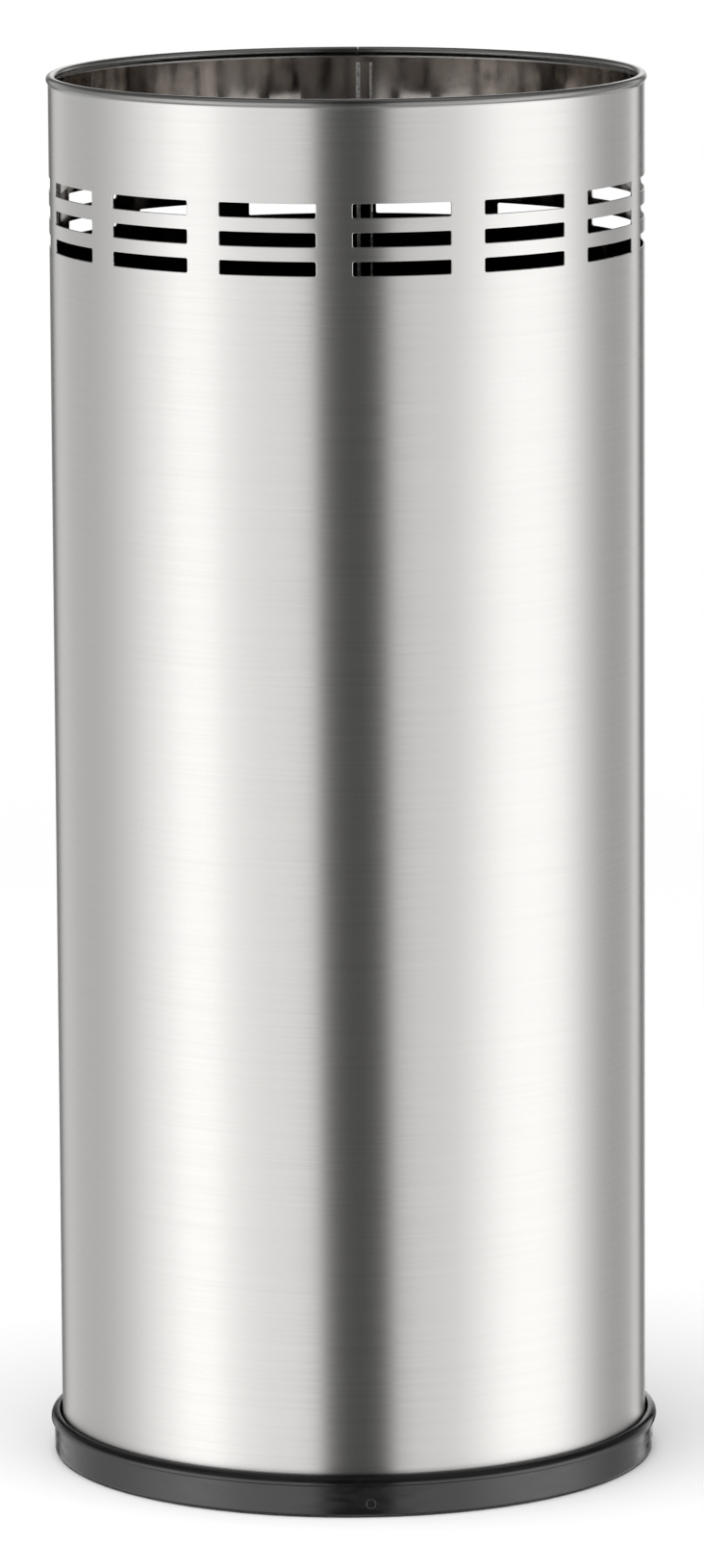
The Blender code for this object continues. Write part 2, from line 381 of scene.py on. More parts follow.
@dataclass(frozen=True)
class Rubber(Finish):
    """Dull rubber with a dusty, slightly open surface."""

    pores: float = 0.0007
    pore_depth: float = 2e-5
    dust_cells: float = 160.0
    dusty_shade: float = 2.2
    specular: float = 0.3

    def material(self) -> bpy.types.Material:
        """Build the material.

        Returns:
            The material.
        """
        material, graph, shader, place = self.start(metallic=0.0)
        cells = 1 / self.pores
        pores = graph.noise(place, (cells, cells, cells), 3.0)
        dust = graph.noise(place, (self.dust_cells,) * 3, 3.0)
        colour = graph.tint(dust, self.colour, scaled(self.colour, self.dusty_shade))
        graph.tree.links.new(colour, shader.inputs["Base Color"])
        shader.inputs["Roughness"].default_value = self.roughness
        shader.inputs["Specular IOR Level"].default_value = self.specular
        self.relief(graph, shader, pores, self.pore_depth)
        return material


# --------------------------------------------------------------- mesh making


def arc(centre: Point, radius: float, start: float, end: float, steps: int) -> list[Point]:
    """Points on an arc, both ends included.

    Args:
        centre: The arc's centre.
        radius: Its radius.
        start: The first point's angle, in radians.
        end: The last point's angle.
        steps: How many chords the arc has.

    Returns:
        The points, first to last.
    """
    angles = [start + (end - start) * step / steps for step in range(steps + 1)]
    return [(centre[0] + radius * math.cos(a), centre[1] + radius * math.sin(a)) for a in angles]


def rounded(corners: Sequence[tuple[float, float, float]], steps: int = 4) -> list[Point]:
    """A closed outline with its corners rounded.

    Args:
        corners: Each corner's two coordinates and its rounding radius.
        steps: Chords in each rounded corner.

    Returns:
        The outline's points, in the corners' order.
    """
    outline: list[Point] = []
    count = len(corners)
    for index, (x, y, radius) in enumerate(corners):
        here = Vector((x, y))
        if radius <= 0:
            outline.append((x, y))
            continue
        before = (Vector(corners[index - 1][:2]) - here).normalized()
        after = (Vector(corners[(index + 1) % count][:2]) - here).normalized()
        half = before.angle(after) / 2
        centre = here + (before + after).normalized() * (radius / math.sin(half))
        start = here + before * (radius / math.tan(half)) - centre
        sweep = start.angle_signed(here + after * (radius / math.tan(half)) - centre)
        begin = math.atan2(start.y, start.x)
        outline += arc(tuple(centre), radius, begin, begin - sweep, steps)
    return outline


def both_faces(path: Sequence[Point], thickness: float) -> tuple[list[Point], list[Point]]:
    """The two faces of a bent sheet.

    Args:
        path: The middle of the sheet, foot first.
        thickness: The sheet's thickness.

    Returns:
        The outer face's points and the inner face's, both in the path's order.
    """
    outer, inner = [], []
    for index, (radius, height) in enumerate(path):
        before, after = path[max(index - 1, 0)], path[min(index + 1, len(path) - 1)]
        run, rise = after[0] - before[0], after[1] - before[1]
        scale = thickness / 2 / math.hypot(run, rise)
        outer.append((radius + rise * scale, height - run * scale))
        inner.append((radius - rise * scale, height + run * scale))
    return outer, inner


def turn(bm: bmesh.types.BMesh, outline: Sequence[Point], facets: int, closed: bool = True) -> None:
    """Turn an outline about Z.

    Args:
        bm: The mesh to add to.
        outline: Points as (radius, height).
        facets: How many flats go round.
        closed: Whether the last point joins the first.
    """
    rings = []
    for radius, height in outline:
        if radius == 0:
            rings.append([bm.verts.new((0, 0, height))] * facets)
            continue
        turns = [2 * math.pi * (step + 0.5) / facets for step in range(facets)]
        ring = [bm.verts.new((radius * math.sin(a), -radius * math.cos(a), height)) for a in turns]
        rings.append(ring)
    for low, high in zip(rings, rings[1:] + rings[:1] if closed else rings[1:]):
        for step in range(facets):
            after = (step + 1) % facets
            corners = dict.fromkeys((low[step], low[after], high[after], high[step]))
            if len(corners) > 2:
                bm.faces.new(list(corners))


def prism(bm: bmesh.types.BMesh, outline: Sequence[Point], levels: Sequence[float]) -> None:
    """Stand a closed (x, y) outline upright through the levels, with both ends closed.

    Args:
        bm: The mesh to add to.
        outline: The cross-section.
        levels: Heights of the rings, lowest first.
    """
    rings = [[bm.verts.new((x, y, level)) for x, y in outline] for level in levels]
    count = len(outline)
    for low, high in zip(rings, rings[1:]):
        for step in range(count):
            after = (step + 1) % count
            bm.faces.new((low[step], low[after], high[after], high[step]))
    bm.faces.new(rings[0][::-1])
    bm.faces.new(rings[-1])


def into_object(
    name: str,
    bm: bmesh.types.BMesh,
    material: bpy.types.Material | None = None,
    sharp: float = 35.0,
    outwards: bool = True,
) -> bpy.types.Object:
    """Make an object of a mesh, shaded smooth up to an angle.

    Args:
        name: The object's name.
        bm: The mesh, which is freed.
        material: Its finish.
        sharp: Edges above this angle stay sharp, in degrees.
        outwards: Whether to recalculate the normals.

    Returns:
        The object, linked to the scene.
    """
    if outwards:
        bmesh.ops.recalc_face_normals(bm, faces=bm.faces)
    mesh = bpy.data.meshes.new(name)
    bm.to_mesh(mesh)
    bm.free()
    if material:
        mesh.materials.append(material)
    mesh.shade_smooth()
    mesh.set_sharp_from_angle(angle=math.radians(sharp))
    piece = bpy.data.objects.new(name, mesh)
    bpy.context.scene.collection.objects.link(piece)
    return piece


def lay_along_y(bm: bmesh.types.BMesh) -> None:
    """Lay an upright prism down by swapping Y and Z."""
    swap = Matrix(((1, 0, 0), (0, 0, 1), (0, 1, 0))).to_4x4()
    bmesh.ops.transform(bm, matrix=swap, verts=bm.verts)


def settle(piece: bpy.types.Object) -> bpy.types.Object:
    """Turn an object with its modifiers into a plain mesh, and drop the modifiers.

    Args:
        piece: The object.

    Returns:
        The same object.
    """
    graph = bpy.context.evaluated_depsgraph_get()
    mesh = bpy.data.meshes.new_from_object(piece.evaluated_get(graph), depsgraph=graph)
    piece.modifiers.clear()
    spent = piece.data
    piece.data = mesh
    bpy.data.meshes.remove(spent)
    mesh.name = piece.name
    return piece


def combine(piece: bpy.types.Object, other: bpy.types.Object, how: Joining) -> bpy.types.Object:
    """Work a piece with another solid, which is then removed.

    Args:
        piece: The piece that is kept.
        other: The other solid.
        how: Whether the other is cut away, welded on, or keeps only what both have.

    Returns:
        The piece.
    """
    modifier = piece.modifiers.new(how.name.lower(), "BOOLEAN")
    modifier.operation = how.value
    modifier.solver = "EXACT"
    modifier.object = other
    settle(piece)
    bpy.data.objects.remove(other)
    return piece


def clean(piece: bpy.types.Object, sharp: float = 35.0) -> bpy.types.Object:
    """Merge doubles, point the faces outwards and set the sharp edges again.

    Args:
        piece: The piece.
        sharp: Edges above this angle stay sharp, in degrees.

    Returns:
        The piece.
    """
    bm = bmesh.new()
    bm.from_mesh(piece.data)
    bmesh.ops.remove_doubles(bm, verts=bm.verts, dist=MERGE_DISTANCE)
    bmesh.ops.recalc_face_normals(bm, faces=bm.faces)
    bm.to_mesh(piece.data)
    bm.free()
    piece.data.shade_smooth()
    piece.data.set_sharp_from_angle(angle=math.radians(sharp))
    return piece


def seat(piece: bpy.types.Object, body: str, slot: Slot, *nodes: str) -> bpy.types.Object:
    """Give the piece its body, and hide the CAD nodes that it stands for.

    Args:
        piece: The finished piece.
        body: The body that it rides on.
        slot: Its material slot in the record; not used.
        nodes: The CAD nodes that it replaces.

    Returns:
        The piece.
    """
    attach(piece, body)
    if nodes:
        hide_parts(*nodes)
    LOG.info("%s: %d faces on %s", piece.name, len(piece.data.polygons), body)
    return piece


# ------------------------------------------------------------ geometry nodes


class GrowTree(Graph):
    """A Geometry Nodes tree with named inputs, run once on a piece."""

    def __init__(self, name: str, inputs: dict[str, str]) -> None:
        """Make the tree.

        Args:
            name: The tree's name.
            inputs: Each input's name and its socket type, after the geometry.
        """
        super().__init__(bpy.data.node_groups.new(name, "GeometryNodeTree"))
        sockets = self.tree.interface
        sockets.new_socket("Geometry", in_out="INPUT", socket_type="NodeSocketGeometry")
        for label, kind in inputs.items():
            sockets.new_socket(label, in_out="INPUT", socket_type=kind)
        sockets.new_socket("Geometry", in_out="OUTPUT", socket_type="NodeSocketGeometry")
        self.given = self.tree.nodes.new("NodeGroupInput").outputs

    def end(self, geometry: Socket) -> None:
        """Join the last node to the tree's output."""
        self.node("NodeGroupOutput", {0: geometry})

    def run(self, piece: bpy.types.Object, values: dict[str, object]) -> bpy.types.Object:
        """Grow the piece and keep the result as a plain mesh.

        Args:
            piece: The object that the tree starts from.
            values: A value for each named input.

        Returns:
            The same object, with the grown mesh.
        """
        modifier = piece.modifiers.new(self.tree.name, "NODES")
        modifier.node_group = self.tree
        for item in self.tree.interface.items_tree:
            if item.in_out == "INPUT" and item.name in values:
                modifier[item.identifier] = values[item.name]
        return settle(piece)


class RolledBlank(GrowTree):
    """Repeats one flat column of sheet along a blank and rolls the blank into a tube."""

    def __init__(self) -> None:
        """Build the tree."""
        kinds = {
            "Columns": "NodeSocketInt",
            "Column Width": "NodeSocketFloat",
            "Radius": "NodeSocketFloat",
            "Outer Finish": "NodeSocketMaterial",
            "Inner Finish": "NodeSocketMaterial",
            "Edge Finish": "NodeSocketMaterial",
        }
        super().__init__("rolled_blank", kinds)
        rolled = self.node(
            "GeometryNodeSetPosition", {"Geometry": self.blank(), "Position": self.roll()}
        )
        closed = self.node(
            "GeometryNodeMergeByDistance",
            {"Geometry": rolled.outputs[0], "Distance": MERGE_DISTANCE},
        )
        self.end(self.dress(closed.outputs[0]))

    def blank(self) -> Socket:
        """Repeat the column along X, with the blank's middle at the origin.

        Returns:
            The flat blank.
        """
        given = self.given
        less_one = self.math("SUBTRACT", given["Columns"], 1.0)
        half = self.math("MULTIPLY", less_one, self.math("MULTIPLY", given["Column Width"], -0.5))
        first = self.node("ShaderNodeCombineXYZ", {"X": half}).outputs[0]
        step = self.node("ShaderNodeCombineXYZ", {"X": given["Column Width"]}).outputs[0]
        line = self.node(
            "GeometryNodeMeshLine",
            {"Count": given["Columns"], "Start Location": first, "Offset": step},
            mode="OFFSET",
        )
        copies = self.node(
            "GeometryNodeInstanceOnPoints",
            {"Points": line.outputs[0], "Instance": given["Geometry"]},
        )
        return self.node("GeometryNodeRealizeInstances", {0: copies.outputs[0]}).outputs[0]

    def dress(self, tube: Socket) -> Socket:
        """Give the tube's outside, inside and rim their finishes.

        Args:
            tube: The rolled tube.

        Returns:
            The dressed tube.
        """
        for label, mark in (
            ("Outer Finish", None),
            ("Inner Finish", SteelTube.INNER_FACE),
            ("Edge Finish", SteelTube.ROLLED_EDGE),
        ):
            inputs = {"Geometry": tube, "Material": self.given[label]}
            if mark:
                marked = self.node(
                    "GeometryNodeInputNamedAttribute", {"Name": mark}, data_type="BOOLEAN"
                )
                inputs["Selection"] = marked.outputs[0]
            tube = self.node("GeometryNodeSetMaterial", inputs).outputs[0]
        return tube

    def roll(self) -> Socket:
        """Take a flat point (along, off, up) round the tube.

        Returns:
            The rolled point's position.
        """
        place = self.node("GeometryNodeInputPosition").outputs[0]
        along, off, up = self.node("ShaderNodeSeparateXYZ", {0: place}).outputs
        bearing = self.math("DIVIDE", along, self.given["Radius"])
        radius = self.math("ADD", off, self.given["Radius"])
        across = self.math("MULTIPLY", radius, self.math("SINE", bearing))
        back = self.math("MULTIPLY", radius, self.math("COSINE", bearing))
        forward = self.math("MULTIPLY", back, -1.0)
        return self.node("ShaderNodeCombineXYZ", {"X": across, "Y": forward, "Z": up}).outputs[0]


class RingOfCopies(GrowTree):
    """Repeats a shape evenly round Z."""

    def __init__(self) -> None:
        """Build the tree."""
        kinds = {
            "Count": "NodeSocketInt",
            "First Bearing": "NodeSocketFloat",
            "Finish": "NodeSocketMaterial",
        }
        super().__init__("ring_of_copies", kinds)
        given = self.given
        line = self.node(
            "GeometryNodeMeshLine",
            {"Count": given["Count"], "Offset": (0.0, 0.0, 0.0)},
            mode="OFFSET",
        )
        number = self.node("GeometryNodeInputIndex").outputs[0]
        pitch = self.math("DIVIDE", 2 * math.pi, given["Count"])
        bearing = self.math("MULTIPLY_ADD", number, pitch, given["First Bearing"])
        facing = self.node("ShaderNodeCombineXYZ", {"Z": bearing}).outputs[0]
        copies = self.node(
            "GeometryNodeInstanceOnPoints",
            {"Points": line.outputs[0], "Instance": given["Geometry"], "Rotation": facing},
        )
        real = self.node("GeometryNodeRealizeInstances", {0: copies.outputs[0]})
        dressed = self.node(
            "GeometryNodeSetMaterial",
            {"Geometry": real.outputs[0], "Material": given["Finish"]},
        )
        self.end(dressed.outputs[0])


# ---------------------------------------------------------------- the pieces


@dataclass(frozen=True)
class SlotPattern:
    """The punched slots: rows and columns of rounded rectangles."""

    columns: int = 14
    rows: int = 3
    width: float = 0.0341
    height: float = 0.00486
    pitch: float = 0.00982
    drop: float = 0.0378
    corner: float = 0.0006
    corner_steps: int = 4
    flats: int = 17
    margin: float = 0.0015

    @property
    def reach(self) -> float:
        """Half the width of the patch of sheet that a slot is punched in."""
        return self.width / 2 + self.margin

    def levels(self, rim: float) -> list[float]:
        """Lines between the rows and past them, lowest first."""
        top = rim - self.drop + self.pitch / 2
        return [top - row * self.pitch for row in range(self.rows, -1, -1)]

    def stations(self, column: float) -> list[float]:
        """Places along the sheet where the mesh of one column has an upright line.

        Args:
            column: The column's width along the sheet.

        Returns:
            The places, from one edge of the column to the other.
        """
        straight = self.width / 2 - self.corner
        across = [straight * (2 * flat / self.flats - 1) for flat in range(self.flats + 1)]
        post = [self.reach, (self.reach + column / 2) / 2, column / 2]
        return [-place for place in reversed(post)] + across + post

    def outline(self, grow: float) -> list[Point]:
        """The slot's outline round its own middle, anticlockwise from the lower right.

        Args:
            grow: How far outside the slot's edge the outline runs.

        Returns:
            The points: four corners of corner_steps chords, with flats between.
        """
        along, up = self.width / 2 - self.corner, self.height / 2 - self.corner
        radius, quarter = self.corner + grow, math.pi / 2
        flats = [along * (2 * flat / self.flats - 1) for flat in range(1, self.flats)]
        points = arc((along, -up), radius, -quarter, 0, self.corner_steps)
        points += arc((along, up), radius, 0, quarter, self.corner_steps)
        points += [(x, up + radius) for x in reversed(flats)]
        points += arc((-along, up), radius, quarter, 2 * quarter, self.corner_steps)
        points += arc((-along, -up), radius, 2 * quarter, 3 * quarter, self.corner_steps)
        points += [(x, -up - radius) for x in flats]
        return points


@dataclass
class SteelTube:
    """The rolled tube with its in-turned foot, its slots and its curled rim.

    The bead stands out past the wall by cad_outstand in the CAD model, and by bead_outstand
    here. The neck is the hollow bend that leads the wall out into the bead.
    """

    INNER_FACE = "inner_face"
    ROLLED_EDGE = "rolled_edge"
    FOOT_POINTS = 2
    FOOT_STEPS = 6
    NECK_STEPS = 8
    CURL_STEPS = 30
    PLAIN_BANDS = 9
    TOP_BANDS = 2

    rim: float
    foot: float
    radius: float
    slots: SlotPattern = field(default_factory=SlotPattern)
    cad_outstand: float = 0.00085
    sheet: float = 0.0005
    foot_width: float = 0.0070
    foot_bend: float = 0.0008
    bead: float = 0.0016
    bead_outstand: float = 0.00070
    neck: float = 0.0012
    neck_run: float = 0.0004
    curl_end: float = math.radians(250)
    joint: float = 0.00025
    plain_end: float = 0.006

    @classmethod
    def from_frame(cls) -> SteelTube:
        """Read the tube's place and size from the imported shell."""
        low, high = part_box("body_shell")
        return cls(rim=high.z, foot=low.z, radius=high.x - cls.cad_outstand)

    @property
    def column_width(self) -> float:
        """Width of the sheet that one slot and its post take."""
        return 2 * math.pi * self.radius / self.slots.columns

    @property
    def inner_radius(self) -> float:
        """Radius of the wall's inner face."""
        return self.radius - self.sheet

    def path(self) -> list[Point]:
        """Middle of the sheet, foot first.

        Returns:
            Points as (off the outer face, height).
        """
        wall = -self.sheet / 2
        floor = self.foot + self.sheet / 2
        centre = (self.bead_outstand - self.bead, self.rim - self.bead)
        curl = self.bead - self.sheet / 2
        sideways = wall + self.neck - centre[0]
        fall = math.sqrt((self.neck + curl) ** 2 - sideways**2)
        meet = math.atan2(-fall, sideways)
        bend = (wall - self.foot_bend, floor + self.foot_bend)
        path = [(-self.foot_width, floor), (-self.foot_width / 2, floor)]
        path += arc(bend, self.foot_bend, -math.pi / 2, 0, self.FOOT_STEPS)
        path += [(wall, level) for level in self.wall_levels()]
        throat = (wall + self.neck, centre[1] - fall)
        # A level just under the neck keeps the wall's shading even up to the bend.
        path.append((wall, throat[1] - self.neck_run))
        path += arc(throat, self.neck, math.pi, meet + math.pi, self.NECK_STEPS)
        path += arc(centre, curl, meet, self.curl_end, self.CURL_STEPS)[1:]
        return path

    def wall_levels(self) -> list[float]:
        """Heights of the level lines on the plain wall.

        Returns:
            The heights, lowest first: below the slots, between their rows and above them.
        """
        rows = self.slots.levels(self.rim)
        low, high = self.foot + self.plain_end, self.rim - self.plain_end
        below = [low + (rows[0] - low) * band / self.PLAIN_BANDS for band in range(self.PLAIN_BANDS)]
        step = (high - rows[-1]) / self.TOP_BANDS
        above = [rows[-1] + step * band for band in range(1, self.TOP_BANDS + 1)]
        return below + rows + above

    def punch_profile(self) -> list[tuple[float, float]]:
        """How the sheet goes over a punched edge, from the outer face to the inner one.

        The punch draws the outer face in a little, and leaves a small chamfer inside.

        Returns:
            Points as (outside the slot's edge, off the outer face).
        """
        t = self.sheet
        return [
            (0.00032, 0.0),
            (0.00020, 0.0),
            (0.00007, -0.00004),
            (0.0, -0.00013),
            (0.0, -t + 0.00005),
            (0.00005, -t),
            (0.00020, -t),
        ]

    def column(self) -> bpy.types.Object:
        """One flat column of the blank, as wide as a slot and its post.

        Returns:
            The column, whose faces are marked for their finishes.
        """
        bm = bmesh.new()
        inner_face = bm.faces.layers.bool.new(self.INNER_FACE)
        rolled_edge = bm.faces.layers.bool.new(self.ROLLED_EDGE)
        stations = self.slots.stations(self.column_width)
        outer, inner = both_faces(self.path(), self.sheet)
        grids = [
            [[bm.verts.new((x, off, up)) for off, up in side] for x in stations]
            for side in (outer, inner)
        ]
        rows = self.slots.levels(self.rim)
        heights = [round(up, SAME_LEVEL) for _, up in outer]
        starts = {heights.index(round(level, SAME_LEVEL)) for level in rows[:-1]}
        first = stations.index(-self.slots.reach)
        last = len(stations) - 1 - first
        neck = self.FOOT_POINTS + self.FOOT_STEPS + 1 + len(self.wall_levels())
        for side, grid in enumerate(grids):
            for i in range(len(stations) - 1):
                for k in range(len(outer) - 1):
                    if k in starts and first <= i < last:
                        continue
                    quad = (grid[i][k], grid[i + 1][k], grid[i + 1][k + 1], grid[i][k + 1])
                    face = bm.faces.new(quad if side == 0 else quad[::-1])
                    face[inner_face] = side == 1
                    face[rolled_edge] = k >= neck
        for k in (0, len(outer) - 1):
            for i in range(len(stations) - 1):
                quad = (grids[0][i][k], grids[1][i][k], grids[1][i + 1][k], grids[0][i + 1][k])
                bm.faces.new(quad if k == 0 else quad[::-1])[inner_face] = k == 0
        for k in starts:
            self.punch(bm, grids, first, last, k, inner_face)
        return into_object("steel_tube", bm, outwards=False)

    def punch(
        self,
        bm: bmesh.types.BMesh,
        grids: list[list[list[bmesh.types.BMVert]]],
        first: int,
        last: int,
        row: int,
        inner_face: bmesh.types.BMLayerItem,
    ) -> None:
        """Fill the gap left in both faces of the sheet with a slot and its edges.

        Args:
            bm: The column's mesh.
            grids: The outer and the inner face's vertices, by station and level.
            first: The station at the gap's left.
            last: The station at its right.
            row: The level at the gap's foot.
            inner_face: The layer that marks faces with the inner finish.
        """
        middle = (grids[0][first][row].co.z + grids[0][first][row + 1].co.z) / 2
        rings = [
            [bm.verts.new((x, off, middle + up)) for x, up in self.slots.outline(grow)]
            for grow, off in self.punch_profile()
        ]
        for side, ring in ((0, rings[0]), (1, rings[-1])):
            border = self.border(grids[side], first, last, row)
            self.skirt(bm, border, ring, inner_face, side == 1)
        for index, (outside, inside) in enumerate(zip(rings, rings[1:])):
            self.skirt(bm, outside, inside, inner_face, index == len(rings) - 2, flip=False)

    def border(
        self, grid: list[list[bmesh.types.BMVert]], first: int, last: int, row: int
    ) -> list[bmesh.types.BMVert]:
        """The gap's border, one vertex for each point of the slot's outline.

        Args:
            grid: One face's vertices, by station and level.
            first: The station at the gap's left.
            last: The station at its right.
            row: The level at the gap's foot.

        Returns:
            The vertices, anticlockwise from the lower right, with the corners repeated.
        """
        steps = self.slots.corner_steps
        low = [column[row] for column in grid]
        high = [column[row + 1] for column in grid]
        border = [low[last - 1]] + [low[last]] * steps
        border += [high[last]] * steps + [high[last - 1]]
        border += high[first + 2 : last - 1][::-1]
        border += [high[first + 1]] + [high[first]] * steps
        border += [low[first]] * steps + [low[first + 1]]
        border += low[first + 2 : last - 1]
        return border

    @staticmethod
    def skirt(
        bm: bmesh.types.BMesh,
        outside: Sequence[bmesh.types.BMVert],
        inside: Sequence[bmesh.types.BMVert],
        inner_face: bmesh.types.BMLayerItem,
        inner: bool,
        flip: bool | None = None,
    ) -> None:
        """Join two loops with a band of faces.

        Args:
            bm: The mesh.
            outside: The outer loop.
            inside: The inner loop, point for point.
            inner_face: The layer that marks faces with the inner finish.
            inner: Whether these faces have it.
            flip: Whether to turn the band over; by default as inner says.
        """
        turned = inner if flip is None else flip
        for step in range(len(outside)):
            after = (step + 1) % len(outside)
            around = (outside[step], outside[after], inside[after], inside[step])
            corners = list(dict.fromkeys(around))
            bm.faces.new(corners[::-1] if turned else corners)[inner_face] = inner

    def slit(self) -> bpy.types.Object:
        """The thin cutter that opens the joint in the rim, at the back, where the sheet's ends meet.

        Returns:
            The cutter.
        """
        low, high = self.rim - 1.5 * self.bead, self.rim + self.bead
        centre = self.radius + self.bead_outstand - self.bead
        place = Matrix.Translation((0, centre, (low + high) / 2))
        size = Matrix.Diagonal((self.joint, 3 * self.bead, high - low, 1))
        bm = bmesh.new()
        bmesh.ops.create_cube(bm, size=1.0, matrix=place @ size)
        return into_object("rim_slit", bm)

    def build(
        self, brushed: bpy.types.Material, inner: bpy.types.Material, edge: bpy.types.Material
    ) -> None:
        """Make the tube and seat it.

        Args:
            brushed: The outer face's finish.
            inner: The inner face's finish.
            edge: The rolled rim's finish.
        """
        values = {
            "Columns": self.slots.columns,
            "Column Width": self.column_width,
            "Radius": self.radius,
            "Outer Finish": brushed,
            "Inner Finish": inner,
            "Edge Finish": edge,
        }
        tube = RolledBlank().run(self.column(), values)
        combine(tube, self.slit(), Joining.CUT)
        clean(tube, sharp=50.0)
        seat(tube, STAND, Slot.SHELL, "body_shell")


@dataclass
class LockSeam:
    """The seam inside the tube: a rounded fold, a flat, and the sheet's stepped edge.

    Places on the fold and on the edge are measured along the section from the nearer end.
    """

    LENGTHS = 24

    tube: SteelTube
    width: float = 0.0058
    rise: float = 0.0010
    shift: float = 0.0021
    headroom: float = 0.0024
    flat_rise: float = 0.00055
    sink: float = 0.0002
    fold: float = 0.00125
    fold_foot: float = 0.00150
    fold_round: float = 0.00049
    edge_foot: float = 0.0009
    edge: float = 0.0008
    edge_end: float = 0.0004

    @property
    def ends(self) -> tuple[float, float]:
        """The seam's two edges, along X."""
        return self.shift - self.width / 2, self.shift + self.width / 2

    def section(self) -> list[Point]:
        """The seam's section at the back of the tube.

        Returns:
            Points as (x, y), from the fold to the stepped edge.
        """
        wall = self.tube.inner_radius + self.sink
        face = self.tube.inner_radius - self.rise
        flat = self.tube.inner_radius - self.flat_rise
        left, right = self.ends
        corners = [
            (left, wall, 0.0),
            (left, face, self.fold_round),
            (left + self.fold, face, 0.0004),
            (left + self.fold_foot, flat, 0.0),
            (right - self.edge_foot, flat, 0.0),
            (right - self.edge, face, 0.0001),
            (right - self.edge_end, face, 0.00025),
            (right, flat, 0.0002),
            (right, wall, 0.0),
        ]
        return rounded(corners, 6)

    def build(self, folded: bpy.types.Material, flat: bpy.types.Material) -> None:
        """Make the seam and seat it.

        Args:
            folded: The finish of the fold and the stepped edge, made near white as a painted
                highlight.
            flat: The finish of the flat between them.
        """
        tube = self.tube
        bottom = tube.foot + tube.sheet / 2 + tube.foot_bend
        top = tube.rim - 2 * tube.bead - self.headroom
        levels = [bottom + (top - bottom) * step / self.LENGTHS for step in range(self.LENGTHS + 1)]
        bm = bmesh.new()
        prism(bm, self.section(), levels)
        left, right = self.ends
        start, end = left + self.fold_foot, right - self.edge_foot
        for face in bm.faces:
            face.material_index = int(start < face.calc_center_median().x < end)
        seam = into_object("lock_seam", bm, folded)
        seam.data.materials.append(flat)
        seat(seam, STAND, Slot.SHELL)


@dataclass
class BottomPlate:
    """The pressed disc on the tube's foot, with two stiffening beads."""

    low: Vector
    high: Vector
    thickness: float = 0.0006
    bend: float = 0.0016
    beads: tuple[float, ...] = (0.030, 0.068)
    bead_half: float = 0.0036
    bead_steps: int = 4
    press: float = 0.0007

    @classmethod
    def from_frame(cls) -> BottomPlate:
        """Read the plate's place from its CAD node."""
        return cls(*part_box("bottom_plate"))

    def path(self) -> list[Point]:
        """Middle of the sheet from the axis to the top of the turned-up edge.

        Returns:
            Points as (radius, height).
        """
        edge = self.high.x - self.thickness / 2
        level = self.low.z + self.thickness / 2
        path: list[Point] = [(0, level)]
        for radius in self.beads:
            for step in range(-self.bead_steps, self.bead_steps + 1):
                share = step / self.bead_steps
                lift = self.press * (1 + math.cos(math.pi * share)) / 2
                path.append((radius + share * self.bead_half, level + lift))
        path += arc((edge - self.bend, level + self.bend), self.bend, -math.pi / 2, 0, 6)
        path.append((edge, self.high.z))
        return path

    def build(self, steel: bpy.types.Material) -> None:
        """Make the plate and seat it.

        Args:
            steel: The plate's finish.
        """
        outer, inner = both_faces(self.path(), self.thickness)
        bm = bmesh.new()
        turn(bm, inner + outer[::-1], FACETS // 2, closed=False)
        plate = into_object("pressed_plate", bm, steel)
        seat(plate, STAND, Slot.PLATE, "bottom_plate")


